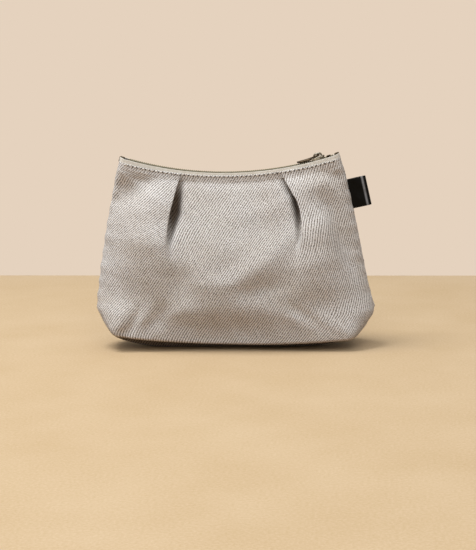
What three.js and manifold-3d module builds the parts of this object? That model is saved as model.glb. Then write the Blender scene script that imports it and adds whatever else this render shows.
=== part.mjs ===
// A zipped, pleated pouch of heavy twill: two outer panels and two lining panels sewn into a boxed base,
// a coil zip that hangs in a shallow arc between the side seams, and a folded leather loop in one side seam.
// Millimetres, +Z up, front towards -Y, origin on the table under the middle of the base.
import * as THREE from "three";
import { mergeVertices } from "three/addons/utils/BufferGeometryUtils.js";
import Module from "manifold-3d";

const wasm = await Module();
wasm.setup();

// Driving dimensions of the pouch
const TOP_WIDTH = 151; // between the side seams at the zip
const MAX_WIDTH = 189; // across the widest part
const WIDEST_HEIGHT = 26; // table to the widest part
const BASE_LENGTH = 167; // between the two boxed corner seams
const BASE_DEPTH = 46; // front edge to back edge of the base
const BASE_EDGE_RADIUS = 6; // roll of the fabric from the base into the wall
const BASE_FLAT_LENGTH = 90; // length of the base that lies on the table
const BASE_FLAT_DEPTH = 16; // front to back of the strip that lies on the table
const EDGE_LIFT = 2.2; // table to the front and back edges of the base
const EDGE_SLOPE = 20; // degrees at which the base meets its edges
const CORNER_LIFT = 7; // table to the ends of the base
const CORNER_ROUNDING = 0.4; // side seam from a corner to the widest part: 0 straight, 1 fully rounded
const BELLY_DEPTH = 56; // front to back at the fullest part
const BELLY_HEIGHT = 44; // table to the fullest part
const CORNER_HEIGHT = 132; // table to the top of a side seam
const SIDE_BOW = 1.25; // curve of the side seams above the widest part: 1 straight, more bows them out
const ROUND_FROM = 0.3; // share of the height from which a section is rounded all the way across
const ROUND_TO = 0.7; // share of the height up to which it is
const TOP_END_LENGTH = 5; // length over which the top edge closes onto a side seam
const BASE_END_LENGTH = 7; // length over which the base edge turns onto a corner seam
const WALL_STRAIGHTNESS = 0.5; // wall between belly and collar: 0 fully rounded, 1 straight
const FABRIC = 1.2; // twill with its turnings
const LINING = 0.5;
const SEAM_GAP = 0.3; // between pieces that are sewn face to face

// Driving dimensions of the pleats, one each side of the middle of a panel
const PLEAT_SPACING = 71; // between the two folds, along the top edge
const PLEAT_LENGTH = 62; // top edge to where the fold runs out
const PLEAT_SPLAY = 7; // how far a fold leans to the side over its length
const PLEAT_STEP = 3; // width of the step at the fold
const PLEAT_LIFT = 4.8; // folded layers over the middle of the panel, where they stand out most
const PLEAT_FULLEST = 36; // top edge to where they stand out most
const PLEAT_SWELL = 26; // how far the lift dies away up and down the fold
const PLEAT_CREST = 12; // fold to the crest of the lift
const PLEAT_SPREAD = 17; // how far the lift dies away across the fold
const HOLLOW_DEPTH = 6; // hollow along the fold, towards the middle of the panel
const HOLLOW_DROP = 28; // top edge to its deepest place
const HOLLOW_LENGTH = 12; // how far it dies away up and down the fold
const HOLLOW_WIDTH = 4.5; // how far it dies away across the fold

// Swells and dents of the soft fabric, each with its place as a share of the half width and of the height,
// how far it dies away along and across, its slant in degrees and how far it stands out
const FRONT_SWELLS = [
  [-0.69, 0.87, 19, 7, 24, -4.2],
  [-0.58, 0.56, 18, 18, 0, 4],
  [0.64, 0.44, 14, 20, 0, 2],
  [0.8, 0.59, 28, 7, -70, -3.2],
  [0.23, 0.45, 33, 9, 36, 2.8],
  [0.23, 0.33, 20, 7, 8, -3],
  [-0.37, 0.36, 11, 10, 0, -2.8],
  [-0.53, 0.18, 14, 7, 40, -3.8],
  [-0.06, 0.08, 44, 13, 0, -2.8],
  [0.67, 0.19, 16, 8, -30, -2.2],
];
const BACK_SWELLS = [
  [0.68, 0.79, 16, 9, -24, -1.4],
  [-0.25, 0.47, 32, 9, -34, 2.6],
  [-0.23, 0.34, 20, 7, -8, -2.6],
  [-0.79, 0.56, 26, 7, 70, -3],
  [0.4, 0.36, 14, 9, 6, -2.4],
  [0.06, 0.06, 42, 13, 0, -2.4],
];
const SWELL_TOP_FADE = 8; // below the upright band, where swells start
const SWELL_SEAM_FADE = 7; // from a side seam

// Driving dimensions of the zip
const ZIP_DIP = 12; // middle of the zip below its ends
const EDGE_RISE = 1.2; // folded fabric edge above the foot of the coil
const TAPE = 0.6;
const TAPE_END_PLAY = 0.35; // right end of the tape to where the top edge starts to close
const TAPE_TAIL = 1.5; // tape past the top stops
const LINING_LAP = 2; // upright band of fabric below the top edge of the lining
const COIL_ROW = 1.7; // width of one row of the coil
const COIL_SLIT = 1.2; // between the rows, where the neck of the slider runs
const COIL_HEIGHT = 1.6;
const COIL_SPINE = 0.8; // solid strip that carries a row of turns
const COIL_PITCH = 3;
const COIL_END_GAP = 5.6; // left end of the tape to the left end of the coil
const STOP_LENGTH = 2.6;
const STOP_WIDTH = 1.9;
const STOP_HEIGHT = 1.9;
const BOTTOM_STOP_MARGIN = 4.3; // left side seam to the bottom stop

// Driving dimensions of the slider and its pull
const SLIDER_LENGTH = 9;
const SLIDER_WIDTH = 5.2;
const SLIDER_TAIL_WIDTH = 4; // narrow end, where the closed coil leaves
const SLIDER_PLATE = 0.9;
const SLIDER_PLAY = 0.5; // plates to the coil, to the tape and to the lining
const SLIDER_SIDE_PLAY = 1.1; // plates to the turned-down tapes
const SLIDER_REST_GAP = 1; // closed slider to the right end of the coil
const NECK_LENGTH = 2.4;
const NECK_PLAY = 0.3; // neck to each row of the coil
const BRIDGE_LENGTH = 6.4; // arch on the top plate that holds the pull
const BRIDGE_WIDTH = 1.2;
const BRIDGE_BAR = 0.9;
const PULL_LENGTH = 15; // pivot to the free end
const PULL_THICKNESS = 0.9;
const PULL_ARM = 1; // each side of the hole that straddles the bridge
const PULL_PLAY = 0.3; // cross bar to the plate and to the bridge
const PULL_SIDE_PLAY = 0.6; // arms to the bridge

// Driving dimensions of the leather loop
const LOOP_WIDTH = 20; // along the side seam
const LOOP_REACH = 12.5; // seam to the fold
const LOOP_HEIGHT = 104; // table to the middle of the loop, at the seam
const LOOP_FOLD_RADIUS = 0.9; // inside of the fold
const LEATHER = 1.2;
const LOOP_SEAM_GAP = 0.4; // sewn end to the outside of the seam

// Sizes that follow from the driving dimensions
const halfTop = TOP_WIDTH / 2;
const middleHeight = CORNER_HEIGHT - ZIP_DIP;
const zipRadius = (halfTop ** 2 + ZIP_DIP ** 2) / (2 * ZIP_DIP);
const zipCentre = middleHeight - EDGE_RISE + zipRadius;
const halfArc = zipRadius * Math.asin(halfTop / zipRadius); // middle of the zip to a side seam
const channelWidth = SLIDER_WIDTH + 2 * (SLIDER_SIDE_PLAY + TAPE + SEAM_GAP); // between the folded edges
const topHalfDepth = channelWidth / 2 + FABRIC - SEAM_GAP / 2;
const liningDepth = FABRIC + SEAM_GAP + TAPE + SEAM_GAP; // outside of the panel to the outside of the lining
const tapeTop = -SEAM_GAP; // level of the tape's upper face, from the foot of the coil
const tapeUnder = tapeTop - TAPE;
const topPlateLevel = COIL_HEIGHT + SLIDER_PLAY;
const bottomPlateLevel = tapeUnder - SLIDER_PLAY - SLIDER_PLATE;
const liningDrop = EDGE_RISE - bottomPlateLevel + SLIDER_PLAY; // folded edge to the top of the lining
const collarHeight = liningDrop + LINING_LAP; // band below the folded edge that stands upright
const collarRise = 1 - collarHeight / middleHeight;
const tapeFoot = EDGE_RISE + 2 * SEAM_GAP - collarHeight; // level of the hidden edge of the tape
const tapeLeft = halfArc - BOTTOM_STOP_MARGIN - STOP_LENGTH - SEAM_GAP; // middle of the zip to each end
const tapeRight = halfArc - TOP_END_LENGTH - TAPE_END_PLAY;
const coilLeft = tapeLeft - COIL_END_GAP;
const coilRight = tapeRight - TAPE_TAIL - STOP_LENGTH - SEAM_GAP;
const sliderStation = coilRight - SLIDER_REST_GAP - SLIDER_LENGTH / 2;
const pullBarReach = Math.hypot(PULL_THICKNESS, PULL_THICKNESS) / 2; // corner of the cross bar from the pivot
const pivotLevel = topPlateLevel + SLIDER_PLATE + PULL_PLAY + pullBarReach;
const bridgeLevel = pivotLevel + pullBarReach + PULL_PLAY; // underside of the bridge

// Grid counts
const MIDDLE_COLUMNS = 6; // from the middle of a panel to a pleat
const SIDE_COLUMNS = 10; // from a pleat to a side seam
const SEAM_CROWDING = 1.5; // columns stand closer together towards a side seam
const BASE_ROWS = 2; // both edges of the strip on the table
const ROLL_ROWS = 3;
const WALL_ROWS = 18;
const ZIP_STEPS = 36;
const ARC_STEPS = 10;
const CORNER_STEPS = 4;
const WELD = 1e-4; // points closer than this are one point

// Materials
const material = (color, roughness, metalness = 0) =>
  new THREE.MeshStandardMaterial({ color, roughness, metalness });
const twill = material(0xc2bab0, 0.92);
const cotton = material(0xd9d2c4, 0.9);
const tapeWeave = material(0x9c9272, 0.85);
const nylon = material(0x857a5c, 0.5);
const darkBrass = material(0x5c4f3c, 0.42, 0.85);
const blackLeather = material(0x0d0d0d, 0.38);

// Body surface: the front half, described by x and by rise, which is 0 at the base edge and 1 at the zip edge

const smooth = (from, to, value) => THREE.MathUtils.smoothstep(value, from, to);
const mix = THREE.MathUtils.lerp;

function zipHeight(x, level) {
  return zipCentre - Math.sqrt((zipRadius - level) ** 2 - x ** 2);
}

// How the base lifts towards its ends at a share of the half width: 0 along the flat middle, 1 at a corner
function cornerShare(share) {
  const flat = BASE_FLAT_LENGTH / BASE_LENGTH;
  return Math.max(0, (Math.abs(share) - flat) / (1 - flat)) ** 2;
}

function halfWidth(rise) {
  const widest = (WIDEST_HEIGHT - CORNER_LIFT) / (CORNER_HEIGHT - CORNER_LIFT);
  if (rise < widest) {
    const share = rise / widest;
    const rounded = mix(share, Math.sin((Math.PI / 2) * share), CORNER_ROUNDING);
    return mix(BASE_LENGTH, MAX_WIDTH, rounded) / 2;
  }
  return mix(MAX_WIDTH, TOP_WIDTH, ((rise - widest) / (1 - widest)) ** SIDE_BOW) / 2;
}

function halfDepth(rise) {
  const belly = BELLY_HEIGHT / middleHeight;
  const atEdge = Math.cos(THREE.MathUtils.degToRad(EDGE_SLOPE));
  const roll = atEdge * Math.max(0, 1 - (rise * middleHeight) / BASE_EDGE_RADIUS);
  const rolledIn = BASE_EDGE_RADIUS * (1 - Math.sqrt(1 - roll ** 2));
  if (rise < belly) {
    return mix(BASE_DEPTH, BELLY_DEPTH, Math.sin((Math.PI / 2) * (rise / belly))) / 2 - rolledIn;
  }
  const share = Math.min(1, (rise - belly) / (collarRise - belly));
  const rounded = Math.cos((Math.PI / 2) * share);
  return mix(topHalfDepth, BELLY_DEPTH / 2, mix(rounded, 1 - share, WALL_STRAIGHTNESS));
}

// Length over which a section closes onto the side seam: short at the base and at the zip, long between them
function endLength(rise) {
  const fromBase = mix(BASE_END_LENGTH, halfWidth(rise), smooth(0, ROUND_FROM, rise));
  return mix(fromBase, TOP_END_LENGTH, smooth(ROUND_TO, collarRise, rise));
}

// One level section of the front half, from the left side seam to the right one
const sections = new Map();
function section(rise) {
  if (!sections.has(rise)) {
    const width = halfWidth(rise);
    const depth = halfDepth(rise);
    const end = endLength(rise);
    const path = new THREE.Path()
      .absellipse(end - width, 0, end, depth, Math.PI, 1.5 * Math.PI, false)
      .lineTo(width - end, -depth)
      .absellipse(width - end, 0, end, depth, 1.5 * Math.PI, 2 * Math.PI, false);
    sections.set(rise, path);
  }
  return sections.get(rise);
}

function heightAt(x, rise) {
  const share = x / halfWidth(rise);
  const edge = mix(EDGE_LIFT, CORNER_LIFT, cornerShare(share));
  return mix(edge, zipHeight(halfTop * share, EDGE_RISE), rise);
}

// A point of the front skin at a station, which runs from -1 to 1 along the section; below the zip the
// stations spread towards the side seams, as the folds do
function skinPoint(station, rise) {
  const lean = PLEAT_SPLAY * Math.min(1, ((1 - rise) * middleHeight) / PLEAT_LENGTH);
  const shift = Math.sin(Math.PI * station) * (lean / section(rise).getLength());
  const { x, y } = section(rise).getPointAt(THREE.MathUtils.clamp((station + 1) / 2 + shift, 0, 1));
  return new THREE.Vector3(x, y - SEAM_GAP / 2, heightAt(x, rise));
}

// Solids from quads

// Collects quads that share their corner points; a quad with two corners in one place becomes a triangle
function surface() {
  const points = [];
  const found = new Map();
  const triangles = [];
  const index = (point) => {
    const key = point.toArray().map((value) => Math.round(value / WELD)).join();
    if (!found.has(key)) {
      found.set(key, points.length / 3);
      points.push(point.x, point.y, point.z);
    }
    return found.get(key);
  };
  const triangle = (...corners) => {
    const [a, b, c] = corners.map(index);
    if (a !== b && b !== c && c !== a) triangles.push(a, b, c);
  };
  const quad = (a, b, c, d) => {
    triangle(a, b, c);
    triangle(a, c, d);
  };
  const geometry = () =>
    new THREE.BufferGeometry()
      .setAttribute("position", new THREE.Float32BufferAttribute(points, 3))
      .setIndex(triangles);
  return { quad, geometry };
}

// A closed shell between an outer and an inner grid with the same rows and columns
function shell(outer, inner) {
  const { quad, geometry } = surface();
  const lastRow = outer.length - 1;
  const lastColumn = outer[0].length - 1;
  for (let row = 0; row < lastRow; row++) {
    const up = row + 1;
    for (let column = 0; column < lastColumn; column++) {
      const right = column + 1;
      quad(outer[row][column], outer[row][right], outer[up][right], outer[up][column]);
      quad(inner[row][column], inner[up][column], inner[up][right], inner[row][right]);
    }
    quad(inner[row][0], outer[row][0], outer[up][0], inner[up][0]);
    quad(outer[row][lastColumn], inner[row][lastColumn], inner[up][lastColumn], outer[up][lastColumn]);
  }
  for (let column = 0; column < lastColumn; column++) {
    const right = column + 1;
    quad(inner[0][column], inner[0][right], outer[0][right], outer[0][column]);
    quad(outer[lastRow][column], outer[lastRow][right], inner[lastRow][right], inner[lastRow][column]);
  }
  return geometry();
}

// Outward normals of a grid whose columns run to the right and rows run up
function gridNormals(grid) {
  const step = (a, b) => b.clone().sub(a);
  return grid.map((line, row) =>
    line.map((_, column) => {
      const across = step(line[Math.max(column - 1, 0)], line[Math.min(column + 1, line.length - 1)]);
      const below = grid[Math.max(row - 1, 0)][column];
      const above = grid[Math.min(row + 1, grid.length - 1)][column];
      return across.cross(step(below, above)).normalize();
    }),
  );
}

// A grid moved out along its normals; offset may depend on row and column
function moved(grid, normals, offset) {
  return grid.map((line, row) =>
    line.map((point, column) => point.clone().addScaledVector(normals[row][column], offset(row, column))),
  );
}

// Panels and linings

const topStation = PLEAT_SPACING / section(1).getLength();
const stepStation = PLEAT_STEP / section(1).getLength();

// Columns from seam to seam, with a close pair at each pleat for the step of the fold
function panelStations() {
  const half = [];
  for (let i = 0; i <= MIDDLE_COLUMNS; i++) half.push(((topStation - stepStation) * i) / MIDDLE_COLUMNS);
  for (let i = 0; i <= SIDE_COLUMNS; i++) {
    half.push(mix(1, topStation + stepStation, (1 - i / SIDE_COLUMNS) ** SEAM_CROWDING));
  }
  return [...half.slice(1).reverse().map((station) => -station), ...half];
}

function wallRises() {
  const rollRise = BASE_EDGE_RADIUS / middleHeight;
  const rises = [];
  for (let i = 0; i < ROLL_ROWS; i++) rises.push(rollRise * (1 - Math.cos((Math.PI / 2) * (i / ROLL_ROWS))));
  for (let i = 0; i <= WALL_ROWS; i++) rises.push(mix(rollRise, collarRise, i / WALL_ROWS));
  return rises;
}

// Rows of the front skin: the strip along the middle of the base that lies on the table, then its edge and
// up the wall
function skinGrid(stations, rises) {
  const wall = rises.map((rise) => stations.map((station) => skinPoint(station, rise)));
  const onTable = (share) =>
    wall[0].map(({ x, y }) => {
      const z = CORNER_LIFT * cornerShare(x / halfWidth(0));
      return new THREE.Vector3(x, mix(-SEAM_GAP / 2, y, share), z);
    });
  return [onTable(0), onTable(BASE_FLAT_DEPTH / 2 / halfDepth(0)), ...wall];
}

// The base rows all meet at the two ends of the base, so their end normals are taken from the base edge
function skinNormals(grid) {
  const normals = gridNormals(grid);
  const last = grid[0].length - 1;
  for (let row = 0; row < BASE_ROWS; row++) {
    for (const column of [0, last]) normals[row][column] = normals[BASE_ROWS][column];
  }
  return normals;
}

// Seam edges stay on the seam plane
function heldAtSeam(grid) {
  for (const point of grid.flat()) point.y = Math.min(point.y, -SEAM_GAP / 2);
  const last = grid[0].length - 1;
  for (const line of grid) line[0].y = line[last].y = -SEAM_GAP / 2;
  for (const point of grid[0]) point.y = -SEAM_GAP / 2;
  return grid;
}

// How a bell-shaped form dies away at a distance from its crest
function bell(distance, reach) {
  return Math.exp(-((distance / reach) ** 2));
}

// Distance past the fold of a pleat, towards the side seam
function pastFold(station, rise) {
  return ((Math.abs(station) - topStation) * section(rise).getLength()) / 2;
}

function hollowOffset(station, rise) {
  const drop = (1 - rise) * middleHeight;
  return -HOLLOW_DEPTH * bell(drop - HOLLOW_DROP, HOLLOW_LENGTH) * bell(pastFold(station, rise), HOLLOW_WIDTH);
}

function pleatOffset(station, rise) {
  const past = pastFold(station, rise);
  if (past < 0) return hollowOffset(station, rise);
  const drop = (1 - rise) * middleHeight;
  return PLEAT_LIFT * bell(drop - PLEAT_FULLEST, PLEAT_SWELL) * bell(past - PLEAT_CREST, PLEAT_SPREAD);
}

function swellOffset({ x, z }, station, rise, swells) {
  const drop = (1 - rise) * middleHeight;
  const toSeam = ((1 - Math.abs(station)) * section(rise).getLength()) / 2;
  const loose = smooth(collarHeight, collarHeight + SWELL_TOP_FADE, drop) * smooth(0, SWELL_SEAM_FADE, toSeam);
  let total = 0;
  for (const [across, up, length, breadth, slant, height] of swells) {
    const from = new THREE.Vector2(x - (across * MAX_WIDTH) / 2, z - up * CORNER_HEIGHT);
    from.rotateAround(new THREE.Vector2(), -THREE.MathUtils.degToRad(slant));
    total += height * bell(from.x, length) * bell(from.y, breadth);
  }
  return loose * total;
}

// The front skin with its swells, which push the wall out level; offset follows the fabric from there
function softGrid(stations, rises, swells, offset) {
  const grid = skinGrid(stations, rises);
  const normals = skinNormals(grid);
  const soft = grid.map((line, row) =>
    line.map((point, column) => {
      if (row < BASE_ROWS) return point;
      const level = normals[row][column].clone().setZ(0).normalize();
      const rise = rises[row - BASE_ROWS];
      return point.clone().addScaledVector(level, swellOffset(point, stations[column], rise, swells));
    }),
  );
  const fold = (row, column) => (row < BASE_ROWS ? 0 : offset(stations[column], rises[row - BASE_ROWS]));
  return (inset) => heldAtSeam(moved(soft, normals, (row, column) => fold(row, column) - inset));
}

function panelGeometry(swells) {
  const layer = softGrid(panelStations(), [...wallRises(), 1], swells, pleatOffset);
  return shell(layer(0), layer(FABRIC));
}

// The lining hangs inside the panel and ends under the slider's path
function liningGeometry(swells) {
  const topRise = 1 - liningDrop / middleHeight;
  const layer = softGrid(panelStations(), [...wallRises(), topRise], swells, hollowOffset);
  return shell(layer(liningDepth), layer(liningDepth + LINING));
}

// Zip, in its own coordinates: s along the arc, y across it and level above the foot of the coil

function onZip(s, y, level) {
  const angle = s / zipRadius;
  const radius = zipRadius - level;
  return new THREE.Vector3(radius * Math.sin(angle), y, zipCentre - radius * Math.cos(angle));
}

// Bends a straight solid, with x along the zip and z as its level, onto the arc
function bentOntoZip(geometry) {
  const position = geometry.getAttribute("position");
  for (let i = 0; i < position.count; i++) {
    const bent = onZip(position.getX(i), position.getY(i), position.getZ(i));
    position.setXYZ(i, bent.x, bent.y, bent.z);
  }
  return geometry;
}

// The front tape: flat under the coil, then turned down between panel and lining
function tapeGeometry() {
  const inner = -COIL_SLIT / 2 - SEAM_GAP / 2;
  const outer = SEAM_GAP - channelWidth / 2;
  const profile = new THREE.Shape()
    .moveTo(inner, tapeTop)
    .lineTo(outer, tapeTop)
    .lineTo(outer, tapeFoot)
    .lineTo(outer + TAPE, tapeFoot)
    .lineTo(outer + TAPE, tapeUnder)
    .lineTo(inner, tapeUnder);
  const options = { depth: tapeLeft + tapeRight, steps: ZIP_STEPS, bevelEnabled: false };
  const straight = new THREE.ExtrudeGeometry(profile, options).translate(0, 0, -tapeLeft);
  const toZip = new THREE.Matrix4().set(0, 0, 1, 0, 1, 0, 0, 0, 0, 1, 0, 0, 0, 0, 0, 1);
  return bentOntoZip(straight.applyMatrix4(toZip));
}

// One row of the coil as a comb: a spine along the tape with the turns pointing to the middle
function coilGeometry(side) {
  const { quad, geometry } = surface();
  const tip = COIL_SLIT / 2;
  const edge = tip + COIL_ROW;
  const root = edge - COIL_SPINE;
  const at = (s, y, level) => onZip(s, side * y, level);
  const turned = (a, b, c, d) => (side < 0 ? quad(a, b, c, d) : quad(d, c, b, a));
  // Top and foot of a strip between two places along the zip and two distances from its middle
  const faces = (from, to, near, far) => {
    for (const level of [0, COIL_HEIGHT]) {
      const corners = [at(from, far, level), at(to, far, level), at(to, near, level), at(from, near, level)];
      turned(...(level > 0 ? corners : corners.reverse()));
    }
  };
  // A wall that faces left of the way from one point to another
  const wall = (from, to) => {
    const [low, high] = [0, COIL_HEIGHT];
    turned(at(...to, low), at(...from, low), at(...from, high), at(...to, high));
  };
  const steps = 2 * Math.floor((coilLeft + coilRight) / COIL_PITCH) + 1;
  const places = [];
  for (let i = 0; i <= steps; i++) places.push(mix(-coilLeft, coilRight, i / steps));
  for (let i = 0; i < steps; i++) {
    const [from, to] = [places[i], places[i + 1]];
    faces(from, to, root, edge);
    wall([to, edge], [from, edge]);
    if (i % 2 === 0) {
      wall([from, root], [to, root]);
      continue;
    }
    faces(from, to, tip, root);
    wall([from, root], [from, tip]);
    wall([from, tip], [to, tip]);
    wall([to, tip], [to, root]);
  }
  wall([-coilLeft, edge], [-coilLeft, root]);
  wall([coilRight, root], [coilRight, edge]);
  return geometry();
}

// A block on the zip, centred on s and y, standing from one level to another
function zipBlock(s, length, y, width, fromLevel, toLevel) {
  const block = new THREE.BoxGeometry(length, width, toLevel - fromLevel);
  return bentOntoZip(block.translate(s, y, (fromLevel + toLevel) / 2));
}

function topStopGeometry(side) {
  const s = coilRight + SEAM_GAP + STOP_LENGTH / 2;
  const y = side * (COIL_SLIT / 2 + SEAM_GAP + STOP_WIDTH / 2);
  return zipBlock(s, STOP_LENGTH, y, STOP_WIDTH, 0, STOP_HEIGHT);
}

function bottomStopGeometry() {
  const s = -tapeLeft - SEAM_GAP - STOP_LENGTH / 2;
  return zipBlock(s, STOP_LENGTH, 0, 2 * STOP_WIDTH, tapeUnder, STOP_HEIGHT);
}

// Slider and pull, in the slider's own frame: x along the zip to the right, z as level

function solid(geometry) {
  const bare = geometry.clone();
  bare.deleteAttribute("normal");
  bare.deleteAttribute("uv");
  const merged = mergeVertices(bare, WELD);
  return new wasm.Manifold(
    new wasm.Mesh({
      numProp: 3,
      vertProperties: merged.getAttribute("position").array,
      triVerts: new Uint32Array(merged.index.array),
    }),
  );
}

function joined(...geometries) {
  const mesh = geometries.map(solid).reduce((whole, part) => whole.add(part)).getMesh();
  return new THREE.BufferGeometry()
    .setAttribute("position", new THREE.BufferAttribute(mesh.vertProperties, 3))
    .setIndex(new THREE.BufferAttribute(mesh.triVerts, 1));
}

function block(width, depth, height, x, y, z) {
  return new THREE.BoxGeometry(width, depth, height).translate(x, y, z);
}

// A plate of the slider: a shield, wide where the open rows come in and narrow where the closed coil leaves
function sliderPlate(level) {
  const [half, mouth, tail] = [SLIDER_LENGTH / 2, SLIDER_WIDTH / 2, SLIDER_TAIL_WIDTH / 2];
  const corner = tail / 2;
  const outline = new THREE.Shape()
    .moveTo(-half, -tail + corner)
    .quadraticCurveTo(-half, -tail, -half + corner, -tail)
    .lineTo(0, -mouth)
    .lineTo(half - corner, -mouth)
    .quadraticCurveTo(half, -mouth, half, -mouth + corner)
    .lineTo(half, mouth - corner)
    .quadraticCurveTo(half, mouth, half - corner, mouth)
    .lineTo(0, mouth)
    .lineTo(-half + corner, tail)
    .quadraticCurveTo(-half, tail, -half, tail - corner);
  const options = { depth: SLIDER_PLATE, bevelEnabled: false, curveSegments: CORNER_STEPS };
  return new THREE.ExtrudeGeometry(outline, options).translate(0, 0, level);
}

function sliderGeometry() {
  const neckWidth = COIL_SLIT - 2 * NECK_PLAY;
  const neckFrom = bottomPlateLevel + SLIDER_PLATE / 2;
  const neckTo = topPlateLevel + SLIDER_PLATE / 2;
  const neckAt = SLIDER_LENGTH / 2 - NECK_LENGTH / 2 - NECK_PLAY;
  const legTo = bridgeLevel + BRIDGE_BAR;
  const legAt = (BRIDGE_LENGTH - BRIDGE_BAR) / 2;
  const leg = (x) => block(BRIDGE_BAR, BRIDGE_WIDTH, legTo - neckTo, x, 0, (neckTo + legTo) / 2);
  return joined(
    sliderPlate(topPlateLevel),
    sliderPlate(bottomPlateLevel),
    block(NECK_LENGTH, neckWidth, neckTo - neckFrom, neckAt, 0, (neckFrom + neckTo) / 2),
    leg(-legAt),
    leg(legAt),
    block(BRIDGE_LENGTH, BRIDGE_WIDTH, BRIDGE_BAR, 0, 0, bridgeLevel + BRIDGE_BAR / 2),
  );
}

// The pull lies towards the tail, about its pivot; a hole lets it swing over the bridge
function pullGeometry() {
  const bar = PULL_THICKNESS / 2;
  const holeHalf = BRIDGE_WIDTH / 2 + PULL_SIDE_PLAY;
  const half = holeHalf + PULL_ARM;
  const holeEnd = Math.hypot(BRIDGE_LENGTH / 2, bridgeLevel + BRIDGE_BAR - pivotLevel) + PULL_PLAY;
  const outline = new THREE.Shape()
    .moveTo(bar, -half)
    .lineTo(bar, half)
    .lineTo(half - PULL_LENGTH, half)
    .absarc(half - PULL_LENGTH, 0, half, Math.PI / 2, 1.5 * Math.PI, false);
  const hole = new THREE.Path()
    .moveTo(-bar, -holeHalf)
    .lineTo(-holeEnd, -holeHalf)
    .lineTo(-holeEnd, holeHalf)
    .lineTo(-bar, holeHalf);
  outline.holes.push(hole);
  const options = { depth: PULL_THICKNESS, bevelEnabled: false, curveSegments: ARC_STEPS };
  return new THREE.ExtrudeGeometry(outline, options).translate(0, 0, -bar);
}

// Leather loop, in its own frame: x away from the seam, z along the seam, origin on the axis it flexes about

const loopTailRadius = LEATHER + SEAM_GAP / 2;

function loopGeometry() {
  const outsideFold = LOOP_FOLD_RADIUS + LEATHER;
  const foldAt = LOOP_REACH - loopTailRadius - LOOP_SEAM_GAP - outsideFold;
  const outline = new THREE.Shape()
    .absarc(0, 0, loopTailRadius, Math.PI / 2, 1.5 * Math.PI, false)
    .absarc(foldAt, 0, outsideFold, -Math.PI / 2, Math.PI / 2, false);
  const slot = new THREE.Path()
    .moveTo(0, SEAM_GAP / 2)
    .lineTo(0, -SEAM_GAP / 2)
    .absarc(foldAt, 0, LOOP_FOLD_RADIUS, -Math.PI / 2, Math.PI / 2, false);
  outline.holes.push(slot);
  const options = { depth: LOOP_WIDTH, bevelEnabled: false, curveSegments: ARC_STEPS };
  return new THREE.ExtrudeGeometry(outline, options).translate(0, 0, -LOOP_WIDTH / 2);
}

// Where the loop's axis lies: off the right side seam, square to it
function loopFrame() {
  const span = LOOP_WIDTH / 2;
  const rise = (height) => (height - CORNER_LIFT) / (CORNER_HEIGHT - CORNER_LIFT);
  const seamAt = (height) => new THREE.Vector2(halfWidth(rise(height)), height);
  const [low, middle, high] = [LOOP_HEIGHT - span, LOOP_HEIGHT, LOOP_HEIGHT + span].map(seamAt);
  const along = high.clone().sub(low).normalize();
  const bow = (middle.x - (low.x + high.x) / 2) * along.y;
  const away = loopTailRadius + LOOP_SEAM_GAP + Math.max(0, -bow);
  return { x: middle.x + away * along.y, z: middle.y - away * along.x, tilt: Math.atan2(along.x, along.y) };
}

// Assembly

const pouch = new THREE.Group();

function add(parent, name, geometry, finish) {
  const mesh = new THREE.Mesh(geometry, finish);
  mesh.name = name;
  parent.add(mesh);
  return mesh;
}

add(pouch, "front_panel", panelGeometry(FRONT_SWELLS), twill);
add(pouch, "back_panel", panelGeometry(BACK_SWELLS), twill).rotation.z = Math.PI;
add(pouch, "front_lining", liningGeometry(FRONT_SWELLS), cotton);
add(pouch, "back_lining", liningGeometry(BACK_SWELLS), cotton).rotation.z = Math.PI;

add(pouch, "zip_tape_front", tapeGeometry(), tapeWeave);
add(pouch, "zip_tape_back", tapeGeometry(), tapeWeave).scale.y = -1;
add(pouch, "zip_coil_front", coilGeometry(-1), nylon);
add(pouch, "zip_coil_back", coilGeometry(1), nylon);
add(pouch, "zip_top_stop_front", topStopGeometry(-1), darkBrass);
add(pouch, "zip_top_stop_back", topStopGeometry(1), darkBrass);
add(pouch, "zip_bottom_stop", bottomStopGeometry(), darkBrass);

const slider = new THREE.Group();
slider.position.copy(onZip(sliderStation, 0, 0));
slider.rotation.y = -sliderStation / zipRadius;
add(slider, "zip_slider", sliderGeometry(), darkBrass);
add(slider, "zip_pull", pullGeometry(), darkBrass).position.z = pivotLevel;
pouch.add(slider);

const loop = new THREE.Group();
const { x: loopX, z: loopZ, tilt: loopTilt } = loopFrame();
loop.position.set(loopX, 0, loopZ);
loop.rotation.y = loopTilt;
add(loop, "leather_loop", loopGeometry(), blackLeather);
pouch.add(loop);

export default pouch;
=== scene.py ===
"""Looks of a pleated zip pouch: twill panels, lining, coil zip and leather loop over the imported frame.

Shapes are worked out in millimetres and turned into metres where a mesh is made.
"""

from math import cos, pi, radians, sin, sqrt

import bpy
import numpy as np
from mathutils import Matrix, Vector


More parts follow.
